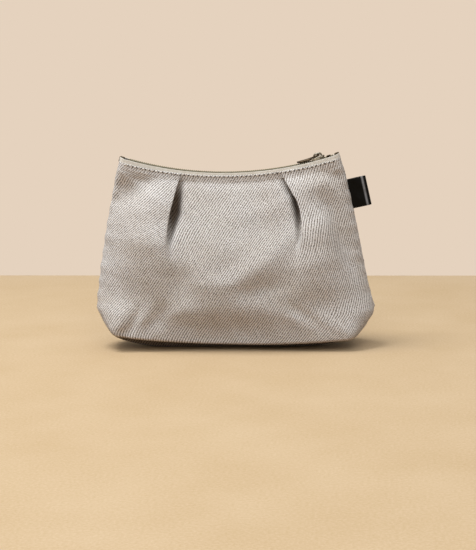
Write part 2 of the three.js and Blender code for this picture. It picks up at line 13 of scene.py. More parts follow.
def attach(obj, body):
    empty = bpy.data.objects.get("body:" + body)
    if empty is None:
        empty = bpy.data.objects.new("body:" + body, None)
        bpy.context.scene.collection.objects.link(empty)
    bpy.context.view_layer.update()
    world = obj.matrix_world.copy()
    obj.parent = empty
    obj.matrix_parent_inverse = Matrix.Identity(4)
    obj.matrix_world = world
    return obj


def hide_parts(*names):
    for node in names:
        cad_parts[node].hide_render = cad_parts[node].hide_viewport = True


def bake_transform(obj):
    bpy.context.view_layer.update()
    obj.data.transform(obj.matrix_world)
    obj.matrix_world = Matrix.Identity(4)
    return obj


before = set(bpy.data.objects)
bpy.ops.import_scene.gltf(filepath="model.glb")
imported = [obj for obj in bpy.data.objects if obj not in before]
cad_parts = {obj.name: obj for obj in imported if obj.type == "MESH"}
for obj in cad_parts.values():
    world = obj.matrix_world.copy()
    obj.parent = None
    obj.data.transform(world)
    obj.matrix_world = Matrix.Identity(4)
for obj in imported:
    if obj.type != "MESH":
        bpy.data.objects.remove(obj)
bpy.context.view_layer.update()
scene = bpy.context.scene

MM = 0.001

# Sizes of the body, the zip and the loop, close to those of the solids
TOP_WIDTH = 151.0
MAX_WIDTH = 189.0
WIDEST_HEIGHT = 26.0
BASE_LENGTH = 167.0
BASE_DEPTH = 46.0
BASE_FLAT_LENGTH = 90.0
BASE_FLAT_DEPTH = 12.0
EDGE_LIFT = 4.0
EDGE_SLOPE = 20.0
CORNER_LIFT = 7.5
CORNER_ROUNDING = 0.4
BELLY_DEPTH = 56.0
BELLY_HEIGHT = 44.0
CORNER_HEIGHT = 132.0
SIDE_BOW = 1.25
ROUND_FROM = 0.3
ROUND_TO = 0.7
TOP_END_LENGTH = 5.0
BASE_END_LENGTH = 7.0
WALL_STRAIGHTNESS = 0.5
SEAM_GAP = 0.3
ZIP_DIP = 12.0
EDGE_RISE = 1.2
TAPE = 0.6
COIL_SLIT = 1.2
COIL_ROW = 1.7
COIL_HEIGHT = 1.6
TOP_HALF_DEPTH = 5.65
LINING_DEPTH = 2.4
LINING_DROP = 4.0
COLLAR_HEIGHT = 6.0
TAPE_FOOT = -4.2
TAPE_BEND = 0.8
TAPE_LEFT = 69.57
TAPE_RIGHT = 72.2
COIL_LEFT = 63.4
COIL_END = 70.4
COIL_RIGHT = 72.2
SLIDER_STATION = 61.52
PULL_PIVOT = (59.879, 0.0, 130.340)
LOOP_WIDTH = 20.0
LOOP_FOLD_AT = 8.65
LOOP_FOLD_RADIUS = 1.5
LEATHER = 1.2
LOOP_PLACE = (83.264, 0.0, 104.355)
LOOP_TILT = -0.20451

HALF_TOP = TOP_WIDTH / 2
MIDDLE_HEIGHT = CORNER_HEIGHT - ZIP_DIP
ZIP_RADIUS = (HALF_TOP**2 + ZIP_DIP**2) / (2 * ZIP_DIP)
ZIP_CENTRE = MIDDLE_HEIGHT - EDGE_RISE + ZIP_RADIUS
COLLAR_RISE = 1 - COLLAR_HEIGHT / MIDDLE_HEIGHT
WALL_HEIGHT = MIDDLE_HEIGHT - EDGE_LIFT

# Cut of a panel: fabric from its middle to a side seam, where a pleat lies in it, and how tightly it turns
HALF_FABRIC = 104.0
FOLD_ZONE = (40.0, 68.0)
FOLD_TURN = 1.1

# Soft edges: the crease along the base, its lift at the corners, and the folded top edge under the zip
CREASE_RADIUS = 2.2
CREASE_LIFTS = (4.4, 9.6)
BASE_TILT = 1.5
HEM = 0.8
HEM_SINKS = (1.9, 3.3)
SINK_DEPTH = 14.0
FACING = 0.45
FACING_SINK = 0.3
FACING_DEPTH = 5.5

# Lie of the pull: its fall and roll in degrees, its length and its bend
PULL_SLOPE = 18.0
PULL_ROLL = 3.0
PULL_LENGTH = 14.7
PULL_SAG = 1.2

# Stitches, the dark specks of painted shade in the needle holes between them, and the wire of the coil
STITCH_DEPTH = 0.95
STITCH_PITCH = 3.0
STITCH_LENGTH = 2.2
STITCH_ENDS = 3.0
STITCH_STEP = 0.1
STITCH_EASE = 6
SEAM_TURN = 2.0
THREAD_RADIUS = 0.24
TUBE_SIDES = 7
STITCH_BEND = (np.array([0, 0.2, 0.45, 0.55, 0.45, 0.2, 0]) - 0.22) * 0.8
STITCH_WAIST = np.array([0.7, 0.95, 1, 1, 1, 0.95, 0.7]) * THREAD_RADIUS
PRICK_SIZES = np.array([0.1, 0.34, 0.42, 0.34, 0.1])
PRICK_HALF = 0.55
PRICK_OUT = 0.06
PRICK_SLANT = 0.3
COIL_PITCH = 1.4
COIL_WIRE = 0.32
COIL_OVERLAP = 0.25
COIL_STEPS = 18

FRONT, BACK = -1, 1
SIDE_NAMES = {FRONT: "front", BACK: "back"}

# Pleats: depths under the zip where the fold dies away, and how far its outer layer stands out there
PLEAT_FADE = (34, 60)
PLEAT_LIFTS = (
    (0, 0.7), (3, 0.9), (7, 1.7), (12, 2.4), (20, 3.4), (30, 4.6),
    (40, 4.8), (50, 4.0), (62, 2.4), (78, 0.6), (90, 0),
)
PLEAT_CREST = 12.0
PLEAT_SPREAD = 17.0
LAYER_BLEND = 1.5

# Painted shade: depth of a pleat hollow that is shaded in full, and the share of painted shade on the base
# underside
DEEP_FOLD = 9.0
BASE_PAINTED_SHADE = 0.8

# Loose cloth: where it starts under the zip and beside a seam, its ripples, and how the seam puckers
LOOSE_DEPTHS = (3, 12)
LOOSE_FROM_SEAM = 7.0
RIPPLE_HEIGHT = 0.28
RIPPLE_COUNT = 16
RIPPLE_LENGTHS = (14, 34)
RIPPLE_FULL_RISE = 0.07
PUCKER_HEIGHT = 0.6
PUCKER_PITCH = 10.0
PUCKER_REACH = 6.0
PUCKER_DEPTHS = (4, 20)
PUCKER_FULL_RISE = 0.1
PUCKER_SHIFT = 1.3
SEAM_EASE = 3.0
SEAM_NIP = 0.7
SEAM_NIP_REACH = 0.9
MIDDLE_GAP = 0.01

# Lean of the lower body to one side: how far, at which distances from the middle, and at which height
LEAN = 3.2
LEAN_BETWEEN = (45, 88)
LEAN_HEIGHT = 18.0
LEAN_SPREAD = 20.0

# How far the cloth follows the zip: by depth under it, and by distance from the seam that holds it back
FOLLOW_DEPTH = 7.0
FOLLOW_FADE = 55.0
FOLLOW_POWER = 2.2
SEAM_HOLD = 6.0
SEAM_HOLD_GROWTH = 0.5

# Lining: its cloth, and how it gives way behind a pleat: half lengths, slant and share of the hollow
LINING_CLOTH = 0.5
GIVE_LENGTHS = (13, 28)
GIVE_SLANT = 6.0
GIVE_SHARE = 0.85


# Body surface

def smooth(low, high, value):
    t = np.clip((value - low) / (high - low), 0, 1)
    return t * t * (3 - 2 * t)


def mix(a, b, t):
    return a + (b - a) * t


def bell(value, middle, spread):
    return np.exp(-(((value - middle) / spread) ** 2))


def distance_along(line):
    return np.concatenate([[0], np.cumsum(np.linalg.norm(np.diff(line, axis=0), axis=1))])


def unit(vectors):
    return vectors / np.linalg.norm(vectors, axis=1)[:, None]


def left_normals(line):
    tangents = unit(np.gradient(line, axis=0))
    return np.stack([-tangents[:, 1], tangents[:, 0]], 1)


def zip_height(x, level):
    return ZIP_CENTRE - np.sqrt((ZIP_RADIUS - level) ** 2 - x**2)


def corner_share(share):
    flat = BASE_FLAT_LENGTH / BASE_LENGTH
    return np.maximum(0, (np.abs(share) - flat) / (1 - flat)) ** 2


def wall_height(share, rise, sunk):
    """Height of the wall at a share of its half width; sunk lowers its top, as for the outer cloth."""
    edge = mix(*CREASE_LIFTS, share**2)
    z = mix(edge, zip_height(HALF_TOP * share, EDGE_RISE), rise)
    return z - sunk * mix(*HEM_SINKS, share**2) * smooth(1 - SINK_DEPTH / WALL_HEIGHT, 1, rise)


def half_width(rise):
    widest = (WIDEST_HEIGHT - CORNER_LIFT) / (CORNER_HEIGHT - CORNER_LIFT)
    if rise < widest:
        share = rise / widest
        return mix(BASE_LENGTH, MAX_WIDTH, mix(share, sin(pi / 2 * share), CORNER_ROUNDING)) / 2
    return mix(MAX_WIDTH, TOP_WIDTH, ((rise - widest) / (1 - widest)) ** SIDE_BOW) / 2


def half_depth(rise):
    belly = BELLY_HEIGHT / MIDDLE_HEIGHT
    roll = cos(radians(EDGE_SLOPE)) * max(0, 1 - rise * MIDDLE_HEIGHT / CREASE_RADIUS)
    rolled_in = CREASE_RADIUS * (1 - sqrt(1 - roll**2))
    if rise < belly:
        return mix(BASE_DEPTH, BELLY_DEPTH, sin(pi / 2 * rise / belly)) / 2 - rolled_in
    share = min(1, (rise - belly) / (COLLAR_RISE - belly))
    rounded = cos(pi / 2 * share)
    return mix(TOP_HALF_DEPTH, BELLY_DEPTH / 2, mix(rounded, 1 - share, WALL_STRAIGHTNESS))


def end_length(rise):
    from_base = mix(BASE_END_LENGTH, half_width(rise), smooth(0, ROUND_FROM, rise))
    return mix(from_base, TOP_END_LENGTH, smooth(ROUND_TO, COLLAR_RISE, rise))


def section(rise):
    """One level line of the front half from seam to seam: points, and their distance from the middle."""
    width, depth, end = half_width(rise), half_depth(rise), float(end_length(rise))
    turn = np.linspace(0, pi / 2, 80)
    left = np.stack([end - width - end * np.cos(turn), -depth * np.sin(turn)], 1)
    right = left[::-1] * (-1, 1)
    line = np.concatenate([left, right])
    along = distance_along(line)
    keep = np.concatenate([[True], np.diff(along) > 1e-9])
    return line[keep], along[keep] - along[-1] / 2


def log_cosh(x):
    x = np.abs(x)
    return x + np.log1p(np.exp(-2 * x))


def ripple(x, z, seed, count, shortest, longest):
    """Soft seeded unevenness between about -1 and 1: waves of many lengths and directions."""
    rng = np.random.default_rng(seed)
    total = np.zeros_like(x)
    for _ in range(count):
        length, angle, phase = rng.uniform((shortest, 0, 0), (longest, pi, 2 * pi))
        total += np.sin(2 * pi * (x * cos(angle) + z * sin(angle)) / length + phase)
    return total / sqrt(count)


def dents(x, z, places):
    """Sum of soft dents and bulges."""
    total = np.zeros_like(x)
    for at_x, at_z, along, across, slant, height in places:
        c, s = cos(radians(slant)), sin(radians(slant))
        u = ((x - at_x) * c + (z - at_z) * s) / along
        v = ((z - at_z) * c - (x - at_x) * s) / across
        total += height * np.exp(-(u**2) - v**2)
    return total


# Panels

def fabric_columns():
    """Places along the cut width of a panel, closer together in the pleats."""
    half = np.concatenate([
        np.linspace(0, FOLD_ZONE[0], 29)[:-1],
        np.linspace(*FOLD_ZONE, 57)[:-1],
        np.linspace(FOLD_ZONE[1], HALF_FABRIC, 29),
    ])
    return np.concatenate([-half[:0:-1], half])


def fold_over(rise, radius, tuck, count):
    """Rows over a folded edge."""
    turn = np.linspace(0, pi, count)
    return [(rise, 1, radius * sin(a), tuck + radius * (1 - cos(a))) for a in turn]


def panel_rows():
    """Rows from the base seam up and over the folded edge: rise, share of the base depth, lift, inset."""
    fold = HEM / 2
    top = 1 - fold / WALL_HEIGHT
    roll = CREASE_RADIUS / MIDDLE_HEIGHT
    rows = [(0, share, 0, 0) for share in np.linspace(0, 1, 11)[:-1]]
    rows += [(roll * (1 - cos(pi / 2 * t)), 1, 0, 0) for t in np.linspace(0, 1, 9)[:-1]]
    rows += [(rise, 1, 0, 0) for rise in np.linspace(roll, COLLAR_RISE, 84)[:-1]]
    rows += [(rise, 1, 0, 0) for rise in np.linspace(COLLAR_RISE, top, 9)[:-1]]
    rows += fold_over(top, fold, 0, 9)
    rows += [(top, 1, -drop, HEM) for drop in (1, 2, 3, 4.4)]
    return rows


def pleated(fabric, rise, half_length, fold_line):
    """Where each place of the cut lies along the section, how far it stands out, and how much painted
    shade its hollow gets.
    """
    depth = (1 - rise) * WALL_HEIGHT
    depths, edges, widths, hollows = zip(*fold_line)
    strength = 1 - smooth(*PLEAT_FADE, depth)
    hidden = max(0, HALF_FABRIC - half_length) / 2
    edge = np.interp(depth, depths, edges)
    first = edge * (HALF_FABRIC - 2 * strength * hidden) / half_length + hidden * (2 * strength - 1)
    last = first + hidden

    def laid(place):
        turns = log_cosh((place - first) / FOLD_TURN) - log_cosh((place - last) / FOLD_TURN)
        return place - strength * FOLD_TURN * turns

    start = laid(0.0)
    along = (laid(fabric) - start) * half_length / (laid(HALF_FABRIC) - start)
    past = np.maximum(0, along - edge)
    lift = np.interp(depth, *zip(*PLEAT_LIFTS)) * bell(past, PLEAT_CREST, PLEAT_SPREAD)
    hollow = bell(along, edge, np.interp(depth, depths, widths)) * np.interp(depth, depths, hollows)
    outer = smooth(first - LAYER_BLEND, last + LAYER_BLEND, fabric)
    # The third value is painted shade, deeper with the hollow beside the fold and none on the outer layer.
    return along, mix(-hollow, lift, outer), np.clip(hollow / DEEP_FOLD, 0, 1) * (1 - outer)


def loosened(out, x, z, rise, to_seam, places, seed):
    """The offset with the dents and ripples of loose cloth, and the puckers and nip of the side seams."""
    depth = (1 - rise) * WALL_HEIGHT
    loose = smooth(*LOOSE_DEPTHS, depth) * smooth(0, LOOSE_FROM_SEAM, to_seam)
    out = out + loose * dents(x, z, places)
    waves = ripple(x, z, seed, RIPPLE_COUNT, *RIPPLE_LENGTHS)
    out += loose * smooth(0, RIPPLE_FULL_RISE, rise) * RIPPLE_HEIGHT * waves
    pucker = smooth(0, SEAM_EASE, to_seam) * np.exp(-to_seam / PUCKER_REACH)
    pucker = pucker * smooth(*PUCKER_DEPTHS, depth) * smooth(0, PUCKER_FULL_RISE, rise)
    phase = z * 2 * pi / PUCKER_PITCH + np.sign(x) * PUCKER_SHIFT + seed
    out += PUCKER_HEIGHT * pucker * np.sin(phase)
    return out - SEAM_NIP * np.exp(-to_seam / SEAM_NIP_REACH)


def seam_freedom(depth, to_seam):
    """0 at a side seam and 1 where the cloth is free of it."""
    return smooth(0, SEAM_HOLD + SEAM_HOLD_GROWTH * depth, to_seam)


def panel_grid(columns, rows, form, inset=0.0, with_pleats=True):
    """Points of the front half, their place on the cut, how far each follows the zip, and how much painted
    shade each gets.
    """
    places, left_fold, right_fold, seed, facing = form
    points, weights, painted_shade = [], [], []
    for rise, base_share, lift, tuck in rows:
        line, along = section(rise)
        half_length = along[-1]
        if with_pleats:
            left = pleated(np.abs(columns), rise, half_length, left_fold)
            right = pleated(np.abs(columns), rise, half_length, right_fold)
            # hidden here is the painted shade of each place.
            s, out, hidden = np.where(columns < 0, left, right)
            s = np.copysign(np.minimum(s, half_length), columns)
        else:
            s = columns * half_length / HALF_FABRIC
            out, hidden = np.zeros_like(columns), np.zeros_like(columns)
        x = np.interp(s, along, line[:, 0])
        y = np.interp(s, along, line[:, 1])
        tangent = np.gradient(line, along, axis=0)
        normal_x = np.interp(s, along, tangent[:, 1])
        normal_y = -np.interp(s, along, tangent[:, 0])
        size = np.hypot(normal_x, normal_y)
        normal_x, normal_y = normal_x / size, normal_y / size
        share = x / half_width(rise)
        z = wall_height(share, rise, with_pleats) - facing * BASE_TILT * share * (1 - rise)
        to_seam = half_length - np.abs(s)
        out = loosened(out, x, z, rise, to_seam, places, seed) - (inset + tuck)
        if base_share < 1:
            rest = BASE_FLAT_DEPTH / 2 / half_depth(0)
            on_table = CORNER_LIFT * corner_share(share)
            under = 1 - max(0, (base_share - rest) / (1 - rest))
            z = mix(on_table, z, 1 - under**3) + inset
            # Painted shade over the whole base underside.
            hidden = np.full_like(columns, BASE_PAINTED_SHADE)
        x = x + normal_x * out
        y = (y + normal_y * out) * base_share
        x = x + facing * LEAN * smooth(*LEAN_BETWEEN, facing * x) * bell(z, LEAN_HEIGHT, LEAN_SPREAD)
        y = np.minimum(y - SEAM_GAP / 2 * smooth(0, SEAM_EASE, to_seam) * base_share, -MIDDLE_GAP)
        points.append(np.stack([x, y, z + lift], 1))
        painted_shade.append(hidden)
        depth = (1 - rise) * WALL_HEIGHT
        follow = np.clip(1 - (depth - FOLLOW_DEPTH) / FOLLOW_FADE, 0, 1) ** FOLLOW_POWER
        weights.append(follow * seam_freedom(depth, to_seam))
    points, weights, painted_shade = map(np.array, (points, weights, painted_shade))
    up = distance_along(points[:, len(columns) // 2])
    cut = np.stack(np.broadcast_arrays(columns[None, :], up[:, None]), 2)
    return points, cut, weights, painted_shade


def grid_faces(row_count, column_count, around=False):
    """Quads of a grid, columns to the right and rows up; around joins the last row to the first."""
    rows = np.arange(row_count if around else row_count - 1)[:, None]
    columns = np.arange(column_count - 1)[None, :]
    a = rows * column_count + columns
    b = (rows + 1) % row_count * column_count + columns
    return np.stack([a, a + 1, b + 1, b], 2).reshape(-1, 4)


def link(name, data):
    made = bpy.data.objects.new(name, data)
    scene.collection.objects.link(made)
    return made


def new_piece(name, points, faces, material, uv=None):
    """A smooth mesh object from points in millimetres; uv gives each point its place on the cut."""
    mesh = bpy.data.meshes.new(name)
    faces = [[int(corner) for corner in face] for face in faces]
    mesh.from_pydata((np.asarray(points).reshape(-1, 3) * MM).tolist(), [], faces)
    if uv is not None:
        corner = np.empty(len(mesh.loops), np.int32)
        mesh.loops.foreach_get("vertex_index", corner)
        layer = mesh.uv_layers.new(name="cut")
        values = np.asarray(uv).reshape(-1, 2)[corner] * MM
        layer.data.foreach_set("uv", values.astype(np.float32).ravel())
    mesh.shade_smooth()
    mesh.materials.append(material)
    return link(name, mesh)


def follow_lip(piece):
    """Bakes the placement of the piece into its mesh."""
    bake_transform(piece)


def turned(points, side):
    """Points of the front half, or the same turned half round for the back."""
    return np.asarray(points) * ((1, 1, 1) if side == FRONT else (-1, -1, 1))


# Materials

class Nodes:
    """Short calls that add nodes to a tree and join them."""

    def __init__(self, tree):
        self.tree = tree

    def put(self, socket, value):
        if isinstance(value, bpy.types.NodeSocket):
            self.tree.links.new(value, socket)
        else:
            socket.default_value = value

    def node(self, kind, inputs, out=0, **settings):
        made = self.tree.nodes.new("ShaderNode" + kind)
        for key, value in settings.items():
            setattr(made, key, value)
        for key, value in inputs.items():
            self.put(made.inputs[key], value)
        return made.outputs[out]

    def calc(self, operation, *values):
        return self.node("Math", dict(enumerate(values)), operation=operation)

    def weighted(self, a, share, b):
        return self.calc("MULTIPLY_ADD", a, share, self.calc("MULTIPLY", b, 1 - share))

    def stretch(self, value, low, high, new_low=0.0, new_high=1.0):
        return self.node("MapRange", {0: value, 1: low, 2: high, 3: new_low, 4: new_high})

    def parts(self, vector):
        return tuple(self.node("SeparateXYZ", {0: vector}).node.outputs)

    def seen(self):
        """1 where it is seen directly, in a mirror or through glass, and 0 for scattered light."""
        rays = self.node("LightPath", {}).node.outputs
        either = self.calc("MAXIMUM", rays["Is Camera Ray"], rays["Is Glossy Ray"])
        return self.calc("MAXIMUM", either, rays["Is Transmission Ray"])


class Shader(Nodes):
    """A new material."""

    def __init__(self, name, **values):
        self.material = bpy.data.materials.new(name)
        self.material.use_nodes = True
        super().__init__(self.material.node_tree)
        self.surface = self.tree.nodes["Principled BSDF"]
        for key, value in values.items():
            self.put(self.surface.inputs[key.replace("_", " ").title().replace("Ior", "IOR")], value)

    def cut(self):
        """Place on the cut of the cloth."""
        return self.node("UVMap", {}, uv_map="cut")

    def place(self):
        """Place in the space of the piece."""
        return self.node("TexCoord", {}, out=3)

    def cells(self, vector, x, y=None, z=None, turn=0.0):
        """The vector turned and measured in cells of the given millimetres, cubes if only one is given."""
        scale = (x * MM, (y or x) * MM, (z or x) * MM)
        inputs = {"Vector": vector, "Scale": scale, "Rotation": (0, 0, turn)}
        return self.node("Mapping", inputs, vector_type="TEXTURE")

    def noise(self, vector, detail=2.0, roughness=0.5):
        inputs = {"Vector": vector, "Scale": 1.0, "Detail": detail, "Roughness": roughness}
        return self.node("TexNoise", inputs)

    def wave(self, value, phase=0.0):
        """0 to 1 and back for each whole number in the value."""
        angle = self.calc("MULTIPLY_ADD", value, 2 * pi, phase)
        return self.calc("MULTIPLY_ADD", self.calc("SINE", angle), 0.5, 0.5)

    def ramp(self, factor, *stops):
        out = self.node("ValToRGB", {"Fac": factor})
        elements = out.node.color_ramp.elements
        while len(elements) < len(stops):
            elements.new(0.5)
        for element, (place, color) in zip(elements, stops):
            element.position = place
            element.color = rgba(color)
        return out

    def mixed(self, factor, a, b, blend_type="MIX"):
        inputs = {0: factor, 6: a, 7: b}
        return self.node("Mix", inputs, out=2, data_type="RGBA", blend_type=blend_type)

    def bump(self, height, distance, strength):
        inputs = {"Height": height, "Distance": distance * MM, "Strength": strength}
        self.put(self.surface.inputs["Normal"], self.node("Bump", inputs))

    def color(self, value):
        self.put(self.surface.inputs["Base Color"], value)

    def roughness(self, value):
        self.put(self.surface.inputs["Roughness"], value)


def rgba(color):
    """Linear colour from three sRGB numbers from 0 to 255."""
    shares = [c / 255 for c in color]
    return (*(s / 12.92 if s <= 0.04045 else ((s + 0.055) / 1.055) ** 2.4 for s in shares), 1.0)


def twill_material():
    """Diagonal ribs of cream floats with dark weft between them, which turn with the folds, with painted
    shade in the pleat hollows and under the base.
    """
    shader = Shader(
        "twill_weave", roughness=0.92, specular_ior_level=0.2, sheen_weight=0.12, sheen_roughness=0.6
    )
    cut = shader.cut()
    slope = radians(57)
    _, across, _ = shader.parts(shader.cells(cut, 1, turn=slope))
    wander = shader.noise(shader.cells(cut, 12), detail=3.0)
    rib = shader.calc("MULTIPLY_ADD", wander, 0.9, shader.calc("DIVIDE", across, 1.5))
    ridge = shader.wave(rib)
    yarn = shader.noise(shader.cells(cut, 0.95, 0.42, turn=slope), detail=3.0, roughness=0.65)
    yarn = shader.stretch(yarn, 0.32, 0.68)
    slub = shader.noise(shader.cells(cut, 0.6, 6), detail=1.0)
    height = shader.weighted(ridge, 0.42, yarn)
    shade = shader.calc("MULTIPLY_ADD", slub, 0.3, shader.calc("SUBTRACT", height, 0.15))
    weft = (0.18, (76, 66, 56)), (0.34, (156, 147, 138))
    floats = (0.5, (231, 228, 224)), (0.74, (250, 249, 247))
    color = shader.ramp(shade, *weft, *floats)
    patch = shader.noise(shader.cells(cut, 38), detail=2.0)
    tint = shader.ramp(patch, (0.3, (244, 240, 235)), (0.7, (255, 255, 255)))
    color = shader.mixed(1.0, color, tint, "MULTIPLY")
    # Painted shade: the colour is multiplied towards dark brown by the per-point shade attribute, in the
    # pleat hollows and under the base.
    painted_shade = shader.node("Attribute", {}, out=2, attribute_name="painted_shade")
    shader.color(shader.mixed(painted_shade, color, shader.mixed(1.0, color, rgba((132, 118, 104)), "MULTIPLY")))
    shader.bump(height, 0.35, 0.8)
    return shader.material


def lining_material():
    """Plain close weave."""
    shader = Shader("lining_weave", roughness=0.85, specular_ior_level=0.25)
    cut = shader.cut()
    along, up, _ = shader.parts(shader.cells(cut, 0.55))
    over = shader.calc("MULTIPLY", shader.wave(along), shader.wave(up))
    under = shader.calc("MULTIPLY", shader.wave(along, pi), shader.wave(up, pi))
    weave = shader.calc("ADD", over, under)
    uneven = shader.noise(shader.cells(cut, 20), detail=3.0)
    shade = shader.weighted(uneven, 0.5, weave)
    shader.color(shader.ramp(shade, (0.1, (176, 162, 141)), (0.7, (221, 209, 190))))
    shader.bump(weave, 0.12, 0.7)
    return shader.material


def facing_material():
    """Cream cotton tape with a fine rib across; its pale tone is partly painted highlight, the light on
    the folded band under the zip.
    """
    shader = Shader("facing_weave", roughness=0.9, specular_ior_level=0.2, sheen_weight=0.1)
    cut = shader.cut()
    along, up, _ = shader.parts(shader.cells(cut, 0.5))
    rib = shader.calc("MULTIPLY", shader.wave(along), shader.wave(up))
    uneven = shader.noise(shader.cells(cut, 3), detail=4.0)
    shade = shader.weighted(uneven, 0.7, rib)
    shader.color(shader.ramp(shade, (0.2, (222, 215, 200)), (0.7, (246, 242, 232))))
    shader.bump(rib, 0.1, 0.7)
    return shader.material


def tape_material():
    """Close ribbed webbing in olive."""
    shader = Shader("zip_tape_weave", roughness=0.8, specular_ior_level=0.3, sheen_weight=0.1)
    cut = shader.cut()
    along, up, _ = shader.parts(shader.cells(cut, 0.7, 0.9))
    lean = shader.calc("PINGPONG", up, 0.5)
    rib = shader.wave(shader.calc("ADD", along, lean))
    uneven = shader.noise(shader.cells(cut, 0.4, 1.5), detail=2.0)
    shade = shader.weighted(uneven, 0.6, rib)
    shader.color(shader.ramp(shade, (0.2, (98, 91, 68)), (0.8, (156, 148, 120))))
    shader.bump(rib, 0.14, 0.8)
    return shader.material


def end_material():
    """The same webbing where it is folded double, scorched brown at its sealed ends."""
    shader = Shader("zip_end_weave", roughness=0.8, specular_ior_level=0.25)
    cut = shader.cut()
    uneven = shader.noise(shader.cells(cut, 0.5, 0.9), detail=3.0)
    rib = shader.wave(shader.parts(shader.cells(cut, 0.6))[1])
    shader.color(shader.ramp(uneven, (0.25, (58, 48, 35)), (0.75, (108, 95, 73))))
    shader.bump(shader.calc("MULTIPLY_ADD", uneven, 0.5, rib), 0.12, 0.7)
    return shader.material


def speckled_material(name, size, detail, stops, depth, gloss=None, **values):
    """One noise of the given size for the colour, the unevenness and, where it is given, the gloss."""
    shader = Shader(name, **values)
    speck = shader.noise(shader.cells(shader.place(), size), detail)
    shader.color(shader.ramp(speck, *stops))
    if gloss:
        shader.roughness(shader.stretch(speck, 0.3, 0.7, *gloss))
    shader.bump(speck, depth, 0.5)
    return shader.material


def coil_material():
    """Moulded nylon wire, a little worn on the crowns."""
    stops = (0.3, (112, 104, 80)), (0.7, (150, 141, 112))
    return speckled_material("coil_nylon", 1.5, 3.0, stops, 0.05, (0.34, 0.52), specular_ior_level=0.45)


def metal_material():
    """Dark aged brass with fine scratches, rubbed brighter in places."""
    shader = Shader("aged_brass", metallic=1.0)
    place = shader.place()
    cloud = shader.noise(shader.cells(place, 2.5), detail=4.0)
    scratch = shader.noise(shader.cells(place, 3, 0.12, 0.12, turn=0.5), detail=2.0)
    shade = shader.weighted(scratch, 0.4, cloud)
    shader.color(shader.ramp(shade, (0.3, (26, 21, 15)), (0.5, (48, 40, 30)), (0.72, (86, 76, 60))))
    shader.roughness(shader.stretch(shade, 0.3, 0.7, 0.5, 0.3))
    shader.bump(scratch, 0.02, 0.5)
    return shader.material


def slider_material():
    """The same metal in pale grey, lighter than the pull: partly the slider's own grey, partly painted
    highlight for the light on its top.
    """
    stops = (0.35, (84, 80, 70)), (0.5, (140, 137, 127)), (0.68, (188, 186, 176))
    return speckled_material("grey_brass_and_highlight", 1.6, 4.0, stops, 0.04, (0.48, 0.28), metallic=1.0)


def leather_material():
    """Black polished leather: pebbled grain with fine creases and pores, with a painted grey highlight
    beside the fold.
    """
    shader = Shader("black_leather", specular_ior_level=0.09)
    place = shader.place()
    inputs = {"Vector": shader.cells(place, 0.75), "Scale": 1.0}
    pebble = shader.node("TexVoronoi", inputs, feature="SMOOTH_F1")
    crease = shader.noise(shader.cells(place, 4), detail=6.0, roughness=0.65)
    grain = shader.calc("MULTIPLY_ADD", crease, 0.7, shader.calc("MULTIPLY", pebble, -0.5))
    # Painted highlight: a grey band about 2.5 mm from the fold, broken by the creases, for the light on
    # the bend.
    from_fold = shader.calc("ABSOLUTE", shader.parts(shader.cut())[0])
    painted_highlight = shader.calc("DIVIDE", shader.calc("SUBTRACT", from_fold, 2.5 * MM), 1.0 * MM)
    painted_highlight = shader.stretch(shader.calc("ABSOLUTE", painted_highlight), 0.2, 1.0, 1.0, 0.0)
    painted_highlight = shader.calc("MULTIPLY", painted_highlight, shader.stretch(crease, 0.25, 0.6, 0.6, 1.0))
    dye = shader.ramp(crease, (0.3, (4, 4, 4)), (0.7, (9, 9, 8)))
    shader.color(shader.mixed(painted_highlight, dye, rgba((142, 143, 145))))
    shader.roughness(shader.stretch(crease, 0.3, 0.7, 0.3, 0.45))
    shader.bump(grain, 0.09, 0.6)
    return shader.material


def thread_material():
    """Twisted cotton thread."""
    shader = Shader("sewing_thread", roughness=0.75, specular_ior_level=0.3, sheen_weight=0.1)
    x, _, z = shader.parts(shader.cells(shader.place(), 0.35))
    twist = shader.wave(shader.calc("ADD", x, z))
    shader.color(shader.ramp(twist, (0.0, (196, 184, 168)), (1.0, (234, 226, 214))))
    shader.bump(twist, 0.06, 0.7)
    return shader.material


def hole_shade_material():
    """Painted shade of the needle holes between two stitches: dark specks that stand a little out of the
    cloth.
    """
    stops = (0.3, (48, 40, 33)), (0.7, (84, 73, 61))
    return speckled_material("needle_hole_shade", 0.5, 2.0, stops, 0.05, roughness=0.95, specular_ior_level=0.1)


def paper_material():
    """Plain warm matt board with a faint fibre."""
    shader = Shader("table_board", roughness=0.85, specular_ior_level=0.2)
    place = shader.place()
    fibre = shader.noise(shader.cells(place, 1.6), detail=4.0, roughness=0.7)
    cloud = shader.noise(shader.cells(place, 60), detail=3.0)
    shade = shader.weighted(fibre, 0.7, cloud)
    board = shader.ramp(shade, (0.3, (192, 164, 124)), (0.7, (211, 187, 153)))
    shader.color(shader.mixed(shader.seen(), rgba((144, 112, 74)), board))
    shader.bump(fibre, 0.2, 0.3)
    return shader.material


# Sewn pieces

def add_sheet(side, suffix, material, columns, rows, form, **options):
    """A sheet of one half, and how much painted shade each of its points gets."""
    points, cut, weights, painted_shade = panel_grid(columns, rows, form, **options)
    faces = grid_faces(*points.shape[:2])
    piece = new_piece(SIDE_NAMES[side] + suffix, turned(points, side), faces, material, cut)
    follow_lip(piece)
    return piece, painted_shade


def add_panel(side, form, material):
    piece, painted_shade = add_sheet(side, "_cloth", material, fabric_columns(), panel_rows(), form)
    # Painted shade per point, kept for the twill.
    layer = piece.data.attributes.new("painted_shade", "FLOAT", "POINT")
    layer.data.foreach_set("value", painted_shade.astype(np.float32).ravel())
    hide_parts(SIDE_NAMES[side] + "_panel")


